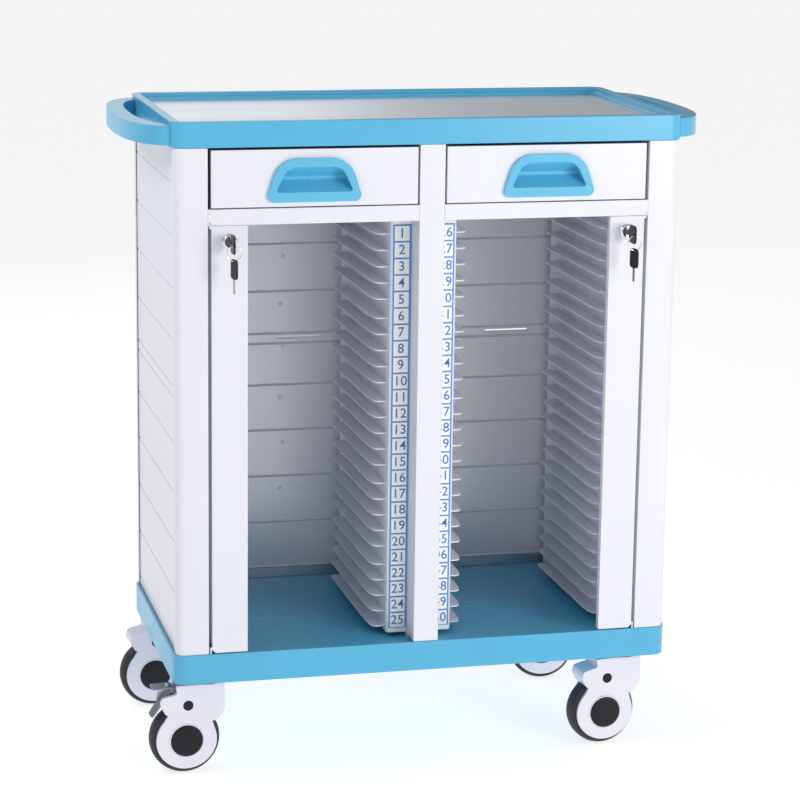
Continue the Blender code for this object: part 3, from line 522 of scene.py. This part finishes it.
def numbers():
    """Five printed cards of five numbers a strip: blue frames, pale cells and the slots' numbers."""
    cells, module, frame_width = 25, 5, 0.0027
    top_margin, foot_margin, side_margin, digit_size = 0.0130, 0.0072, 0.0004, 0.0212
    card_gap, card_front, card_back = 0.0002, 0.00022, 0.00002
    cell_front, cell_back, digit_front = 0.00040, 0.00020, 0.00046
    for side, sign in SIDES:
        low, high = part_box(f"label_strip_{side}")
        top, foot = high.z - top_margin, low.z + foot_margin
        pitch = (top - foot) / cells
        left, right = low.x + side_margin, high.x - side_margin
        cards, windows, digits = [], [], []
        for index in range(cells // module):
            card_top = top - index * module * pitch + (0 if index else frame_width / 2)
            card_low = top - (index + 1) * module * pitch + card_gap
            cards.append(block((left, low.y - card_front, card_low), (right, low.y - card_back, card_top)))
        for index in range(cells):
            cell_top = top - index * pitch - frame_width / 2
            cell_low = top - (index + 1) * pitch + frame_width / 2
            windows.append(block((left + frame_width, low.y - cell_front, cell_low),
                                 (right - frame_width, low.y - cell_back, cell_top)))
            middle = Vector(((left + right) / 2, low.y - digit_front, (cell_top + cell_low) / 2))
            number = index + 1 + (cells if sign > 0 else 0)
            place = Matrix.Translation(middle) @ Matrix.Rotation(math.radians(90), 4, "X")
            digits.append(number_mesh(str(number), digit_size, place))
        piece(f"number_card_{side}", gathered(cards), INK_BLUE, "cabinet")
        piece(f"number_cells_{side}", gathered(windows), CARD, "cabinet")
        piece(f"numbers_{side}", gathered(digits), DIGIT_INK, "cabinet")


# ---------------------------------------------------------------- drawer pulls
def pull_outline(at, grow):
    """The pull's opening in (x, z), a trapezium with round corners, grown by a distance."""
    top, bottom = LIFT + 0.951 + grow, LIFT + 0.913 - grow * 1.15
    half_top, half_bottom = 0.0415 + grow * 0.95, 0.0600 + grow * 1.15
    top_r, bottom_r = 0.0240 + grow * 1.2, 0.0035 + grow * 0.45
    return rounded([
        (at - half_bottom, bottom, bottom_r), (at + half_bottom, bottom, bottom_r),
        (at + half_top, top, top_r), (at - half_top, top, top_r),
    ], 12)


def pulls():
    """Recessed pulls: a raised rounded frame round a wedge-shaped finger space."""
    out, depth, crease, skin = 0.0060, 0.020, LIFT + 0.9315, 0.0018
    mouth_above, mouth_below, crease_half, crease_r = 0.0225, 0.0215, 0.003, 0.004
    frame_grow, cup_grow = 0.0130, 0.0024
    front, seat, deepest = FRONT_Y - 0.003, FRONT_Y - 0.0003, FRONT_Y + 0.03
    for side, _ in SIDES:
        low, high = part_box(f"drawer_pull_{side}")
        at = (low.x + high.x) / 2
        sections = []
        for grow in (skin, 0):
            mouth, deep = FRONT_Y - out - 0.003, FRONT_Y + depth + grow
            sections.append(rounded([
                (mouth, crease + mouth_above + grow, 0), (deep, crease + crease_half, crease_r),
                (deep, crease - crease_half, crease_r), (mouth, crease - mouth_below - grow, 0),
            ], 6))
        ends = (at - 0.09, at + 0.09)
        frame_mesh = slab([pull_outline(at, frame_grow)], FRONT_Y - out, seat, "Y")
        cup = combined(slab([pull_outline(at, cup_grow)], front, deepest, "Y"), "INTERSECT",
                       slab([sections[0]], *ends, "X"))
        hollow = combined(slab([pull_outline(at, 0)], FRONT_Y - 0.02, deepest, "Y"), "INTERSECT",
                          slab([sections[1]], *ends, "X"))
        made = combined(combined(frame_mesh, "UNION", cup), "DIFFERENCE", hollow)
        piece(f"pull_{side}", made, PULL_BLUE, f"drawer_{side}", 0.0026, 4, (f"drawer_pull_{side}",))


# ---------------------------------------------------------------- locks and keys
SPARE_TURN = math.radians(13)
KEY_HOLE, SPARE_HOLE, BOW_THICK = 0.0033, 0.0024, 0.0028


def ring(radius, wire, place, steps=48):
    """A round wire ring about the local Z axis."""
    section = [(radius + x, z) for x, z in arc((0, 0), wire, 90, -240, 11)]
    return moved(turned(section, steps, closed=True), place)


def locks():
    """Cam locks with a turned escutcheon, a key in each and a spare hanging from its ring."""
    for side, _ in SIDES:
        turn = Vector(JOINTS[f"lock_{side}_turn"]["pos_m"])
        at = Vector((turn.x, FRONT_Y, turn.z))
        outward = Matrix.Translation(at) @ Matrix.Rotation(math.radians(90), 4, "X")
        collar = turned([
            (0.0043, 0.0040), (0.0050, 0.0047), (0.0086, 0.0050), (0.0096, 0.0044), (0.0103, 0.0030),
            (0.0117, 0.0024), (0.0122, 0.0016), (0.0122, 0.0003), (0.0090, 0.0003), (0.0090, -0.0160),
            (0.0043, -0.0160),
        ], 64, closed=True)
        piece(f"lock_collar_{side}", moved(collar, outward), CHROME, f"flap_{side}", 0.0003, 2,
              (f"lock_barrel_{side}",))
        dressed(f"lock_cam_{side}", ZINC, 0.0003)

        hang = Vector(JOINTS[f"spare_key_{side}_swing"]["pos_m"])
        hole_y, axis_z = hang.y, at.z
        bow_half, bow_length, shoulder_y = 0.0140, 0.0270, 0.0325
        low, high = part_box(f"key_{side}")
        bow = slab([rounded([
            (low.y, axis_z - bow_half, 0.007), (low.y + bow_length, axis_z - bow_half, 0.006),
            (low.y + shoulder_y, axis_z, 0.006), (low.y + bow_length, axis_z + bow_half, 0.006),
            (low.y, axis_z + bow_half, 0.007),
        ], 8), arc((hole_y, axis_z), KEY_HOLE, 0, 345, 23)], at.x - BOW_THICK / 2, at.x + BOW_THICK / 2, "X")
        piece(f"key_bow_{side}", bow, BLACK, f"lock_key_{side}", 0.0006, 3, (f"key_{side}",))
        blade_half, blade_rise, blade_start = 0.0009, 0.0030, 0.0290
        blade = block((at.x - blade_half, low.y + blade_start, axis_z - blade_rise),
                      (at.x + blade_half, high.y, axis_z + blade_rise))
        piece(f"key_blade_{side}", blade, KEY_STEEL, f"lock_key_{side}", 0.0003)

        radius, wire, ring_slack = 0.0110, 0.0008, 0.0010
        middle = Matrix.Translation(hang - Vector((0, 0, radius))) @ Matrix.Rotation(math.radians(90), 4, "X")
        piece(f"split_ring_{side}", ring(radius, wire, middle), CHROME, f"spare_key_{side}", 0, 0,
              (f"key_ring_{side}",))

        hole_z = hang.z - 2 * radius - ring_slack
        turned_out = Matrix.Translation((hang.x, hang.y, 0)) @ Matrix.Rotation(SPARE_TURN, 4, "Z")
        half, bow_top, bow_foot = 0.0110, hole_z + 0.0038, hole_z - 0.0262
        spare = slab([rounded([(-half, bow_foot, 0.006), (half, bow_foot, 0.006),
                               (half, bow_top, 0.007), (-half, bow_top, 0.007)], 8),
                      arc((0, hole_z), SPARE_HOLE, 0, 345, 23)], -BOW_THICK / 2, BOW_THICK / 2, "X")
        piece(f"spare_bow_{side}", moved(spare, turned_out), BLACK, f"spare_key_{side}", 0.0006, 3,
              (f"spare_key_{side}",))
        tip, shoulder = hole_z - 0.0485, hole_z - 0.0250
        cuts = [(-0.0030, shoulder), (-0.0030, tip + 0.0020), (-0.0010, tip), (0.0016, tip + 0.0010)]
        first_tooth, tooth_pitch, valley = 0.0035, 0.0038, 0.0019
        for tooth in range(4):
            z = tip + first_tooth + tooth * tooth_pitch
            cuts += [(0.0030, z), (0.0016 + 0.0004 * (tooth % 2), z + valley)]
        cuts += [(0.0030, tip + 0.0187), (0.0030, shoulder)]
        spare_blade = slab([cuts], -0.0008, 0.0008, "X")
        piece(f"spare_blade_{side}", moved(spare_blade, turned_out), KEY_STEEL, f"spare_key_{side}", 0.0002)


# ---------------------------------------------------------------- casters
PEDAL_PIVOT = (-0.020, 0.0705)


def fork_outline():
    """Side view of the fork about the wheel's centre: neck, shoulder and the disc over the wheel."""
    disc_r, drop, top = 0.0480, 0.0455, 0.0905
    disc = [(x, z if z > 0 else z * drop / disc_r) for x, z in arc((0, 0), disc_r, 22, -222, 72)]
    crown = rounded([
        (-0.0335, 0.0440, 0.009), (-0.0415, 0.0600, 0.007), (-0.0390, 0.0710, 0.006),
        (-0.0150, 0.0770, 0.004), (-0.0165, top, 0.002), (0.0604, top, 0.002), (0.0612, 0.0480, 0.005),
        (0.0490, 0.0285, 0.012),
    ], 8)
    return disc + crown


def caster(corner):
    """One swivel caster: fork, axle with its caps, tyre, core, head and, where it has one, the pedal."""
    swivel = Vector(JOINTS[f"swivel_{corner}_turn"]["pos_m"])
    roll = JOINTS[f"wheel_{corner}_roll"]
    axle = Vector(roll["pos_m"])
    yaw = math.atan2(-roll["axis"][0], roll["axis"][1])
    stand = Matrix.Translation(axle) @ Matrix.Rotation(yaw, 4, "Z")
    across = stand @ Matrix.Rotation(math.radians(90), 4, "X")
    trail = math.hypot(swivel.x - axle.x, swivel.y - axle.y)
    fork_body, wheel_body = f"swivel_{corner}", f"wheel_{corner}"
    fork_half, space_half, space_r = 0.022, 0.017, 0.0580
    axle_half, bore, pivot_bore, pedal_room = 0.0215, 0.0053, 0.0033, 0.0145
    plug_x, plug_z = 0.0025, 0.0575
    braked = f"brake_pedal_{corner}" in NODES

    def side_rod(radius, half, x=0.0, z=0.0, steps=40):
        return rod(radius, (x, -half, z), (x, half, z), steps)

    fork = slab([fork_outline()], -fork_half, fork_half, "Y")
    cutters = [side_rod(space_r, space_half, steps=96), side_rod(bore, 0.03),
               rod(bore, (trail, 0, 0.060), (trail, 0, 0.10))]
    if braked:
        cutters.append(block((-0.060, -pedal_room, 0.035), (-0.010, pedal_room, 0.100)))
        cutters.append(side_rod(pivot_bore, 0.019, *PEDAL_PIVOT))
    fork = combined(fork, "DIFFERENCE", *cutters)
    piece(f"fork_{corner}", moved(fork, stand), NYLON, fork_body, 0.0014, 3, (f"caster_fork_{corner}",))

    # a hub cap, its pale rim and a small blanking cap on each cheek
    pin = [(0, axle_half), (0.0050, axle_half), (0.0050, -axle_half), (0, -axle_half)]
    axle_rod = turned(pin, 32)
    piece(f"axle_{corner}", moved(axle_rod, across), ZINC, fork_body, 0.0004, 2, (f"caster_axle_{corner}",))
    caps, rims, plugs = [], [], []
    for face in (1, -1):
        flip = Matrix.Scale(face, 4, (0, 0, 1)) if face < 0 else Matrix.Identity(4)
        cap = turned([(0, 0.0254), (0.0120, 0.0253), (0.0225, 0.0249), (0.0246, 0.0242), (0.0254, 0.0222),
                      (0.0, 0.0222)], 72)
        rim = turned([(0.0260, 0.0230), (0.0272, 0.0233), (0.0282, 0.0226), (0.0282, 0.0221),
                      (0.0260, 0.0221)], 72, closed=True)
        plug = turned([(0, 0.0232), (0.0072, 0.0230), (0.0082, 0.0222), (0, 0.0222)], 40)
        plug.transform(Matrix.Translation((plug_x, plug_z, 0)))
        for mesh in (cap, rim, plug):
            mesh.transform(flip)
            welded(mesh)
        caps.append(cap)
        rims.append(rim)
        plugs.append(plug)
    piece(f"hub_caps_{corner}", moved(gathered(caps), across), BLACK, fork_body)
    piece(f"hub_rims_{corner}", moved(gathered(rims), across), NYLON, fork_body)
    piece(f"side_plugs_{corner}", moved(gathered(plugs), across), BLACK, fork_body)

    half_tread = [(0.0445, 0.0138), (0.0460, 0.0150), (0.0503, 0.0149), (0.0525, 0.0136), (0.0542, 0.0108),
                  (0.0552, 0.0070), (0.0555, 0.0030)]
    tyre = turned(half_tread + [(radius, -z) for radius, z in half_tread[::-1]], 96, closed=True)
    piece(f"tyre_{corner}", moved(tyre, across), TYRE, wheel_body, 0, 0, (f"caster_wheel_{corner}",))
    core = turned([
        (0.0053, 0.0150), (0.0120, 0.0150), (0.0135, 0.0120), (0.0380, 0.0105), (0.0405, 0.0140),
        (0.0442, 0.0140), (0.0444, -0.0140), (0.0405, -0.0140), (0.0380, -0.0105), (0.0135, -0.0120),
        (0.0120, -0.0150), (0.0053, -0.0150),
    ], 72, closed=True)
    piece(f"wheel_core_{corner}", moved(core, across), CORE, wheel_body)

    # the fixed head, and a black ring between it and the fork, painted shade for the gap at the seam
    low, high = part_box(f"caster_head_{corner}")
    kingpin = Matrix.Translation((swivel.x, swivel.y, 0))
    head_foot = high.z - 0.0089
    head = turned([
        (0, high.z), (0.0235, high.z), (0.0260, high.z - 0.0020), (0.0260, high.z - 0.0072),
        (0.0250, head_foot), (0.0050, head_foot), (0.0050, low.z), (0, low.z),
    ], 64)
    piece(f"head_{corner}", moved(head, kingpin), NYLON, "cabinet", 0.0004, 2, (f"caster_head_{corner}",))
    # a black ring at the head's foot, painted shade: it stands in for the shaded gap between head and fork
    shade_top, shade_foot, shade_inner, shade_outer = head_foot + 0.0006, head_foot - 0.0002, 0.0245, 0.0262
    seam_shade = turned([(shade_inner, shade_top), (shade_outer, shade_top), (shade_outer, shade_foot),
                   (shade_inner, shade_foot)], 64, closed=True)
    piece(f"head_seam_shade_{corner}", moved(seam_shade, kingpin), BLACK, "cabinet")
    if braked:
        pedal(corner, stand)


def pedal(corner, stand):
    """Bent steel pedal with a round-ended toe plate, its pivot tube and a bolt."""
    body = f"pedal_{corner}"
    x, z = PEDAL_PIVOT
    half, tube_half, tube_r = 0.0130, 0.0185, 0.0030
    bolt_back, bolt_up = 0.0075, 0.0159
    bent = [
        (0.0012, 0), (0.0012, 0.0160), (-0.0320, 0.0160), (-0.0320, 0.0135), (-0.0021, 0.0135),
        (-0.0345, -0.0311), (-0.0324, -0.0326), (-0.0018, 0.0095), (-0.0018, 0),
    ]
    plate = slab([[(x + px, z + pz) for px, pz in bent]], -half, half, "Y")
    keep = slab([rounded([(x - 0.036, -half, 0.009), (x + 0.004, -half, 0), (x + 0.004, half, 0),
                          (x - 0.036, half, 0.009)], 8)], z - 0.05, z + 0.03)
    plate = combined(plate, "INTERSECT", keep)
    tube = rod(tube_r, (x, -tube_half, z), (x, tube_half, z), 32)
    made = combined(plate, "UNION", tube)
    piece(f"brake_plate_{corner}", moved(made, stand), ZINC, body, 0.0005, 2, (f"brake_pedal_{corner}",))
    bolt = turned([(0, 0.0035), (0.0022, 0.0032), (0.0034, 0.0018), (0.0036, 0.0), (0, 0.0)], 24)
    bolt.transform(Matrix.Translation((x - bolt_back, 0, z + bolt_up)))
    piece(f"brake_bolt_{corner}", moved(bolt, stand), CHROME, body)


# ---------------------------------------------------------------- camera, floor and light
def camera():
    """The photograph's viewing angle, on an 800 by 800 frame."""
    yaw, pitch, roll = math.radians(13.8938), math.radians(12.5721), math.radians(0.7590)
    place = Vector((-1.0073, MID_Y - 4.0965, LIFT + 1.4786))
    forward = Vector((math.sin(yaw) * math.cos(pitch), math.cos(yaw) * math.cos(pitch), -math.sin(pitch)))
    right = Vector((math.cos(yaw), -math.sin(yaw), 0))
    up = right.cross(forward)
    across = math.cos(roll) * right + math.sin(roll) * up
    above = -math.sin(roll) * right + math.cos(roll) * up
    data = bpy.data.cameras.new("camera")
    data.lens = 119.67
    data.sensor_width = 36
    data.clip_end = 200
    obj = bpy.data.objects.new("camera", data)
    turn = Matrix((across, above, -forward)).transposed().to_4x4()
    obj.matrix_world = Matrix.Translation(place) @ turn
    bpy.context.scene.collection.objects.link(obj)
    bpy.context.scene.camera = obj


def lamp(name, place, target, size, power, colour=(1, 1, 1)):
    """A rectangular area lamp that the camera doesn't see."""
    data = bpy.data.lights.new(name, "AREA")
    data.shape = "RECTANGLE"
    data.size, data.size_y = size
    data.energy = power
    data.color = colour
    obj = bpy.data.objects.new(name, data)
    aim = Vector(target) - Vector(place)
    obj.matrix_world = Matrix.Translation(place) @ aim.to_track_quat("-Z", "Y").to_matrix().to_4x4()
    obj.visible_camera = False
    bpy.context.scene.collection.objects.link(obj)


def studio():
    """Pale floor, pale sky and four lamps."""
    glow, sky_strength, floor_half = 0.74, 0.35, 60
    slab_mesh = block((-floor_half, -floor_half, -0.02), (floor_half, floor_half, 0.0))
    floor = bpy.data.objects.new("floor", slab_mesh)
    pieces.objects.link(floor)
    pale = surface("pale_floor", (0.46, 0.46, 0.46), 0.8, 40, (0.02, 0.0005), drift=0.004)
    shader = pale.node_tree.nodes["Principled BSDF"]
    shader.inputs["Emission Color"].default_value = (1, 1, 1, 1)
    shader.inputs["Emission Strength"].default_value = glow
    floor.data.materials.append(pale)
    world = bpy.data.worlds.new("studio")
    bpy.context.scene.world = world
    world.use_nodes = True
    sky = world.node_tree.nodes["Background"]
    sky.inputs["Color"].default_value = (0.97, 0.98, 1.0, 1)
    sky.inputs["Strength"].default_value = sky_strength
    # place, aim, size and power of each lamp
    lamp("key", (2.1, -3.4, 1.35), (0, 0, 0.7), (1.5, 1.3), 66)
    lamp("front_fill", (-1.0, -3.9, 1.5), (0, 0, 0.6), (1.5, 1.3), 9)
    lamp("side_fill", (-1.7, -0.3, 2.35), (-0.3, 0, 0.95), (1.1, 0.9), 15, (0.97, 0.98, 1.0))
    lamp("behind", (-1.2, 3.6, 2.3), (0, 0, 0.9), (4.6, 2.0), 26)
    bpy.context.scene.view_settings.view_transform = "Standard"


cabinet()
racks()
back_details()
floor_trim()
handles()
numbers()
pulls()
locks()
for corner_name in CORNERS:
    caster(corner_name)
camera()
studio()
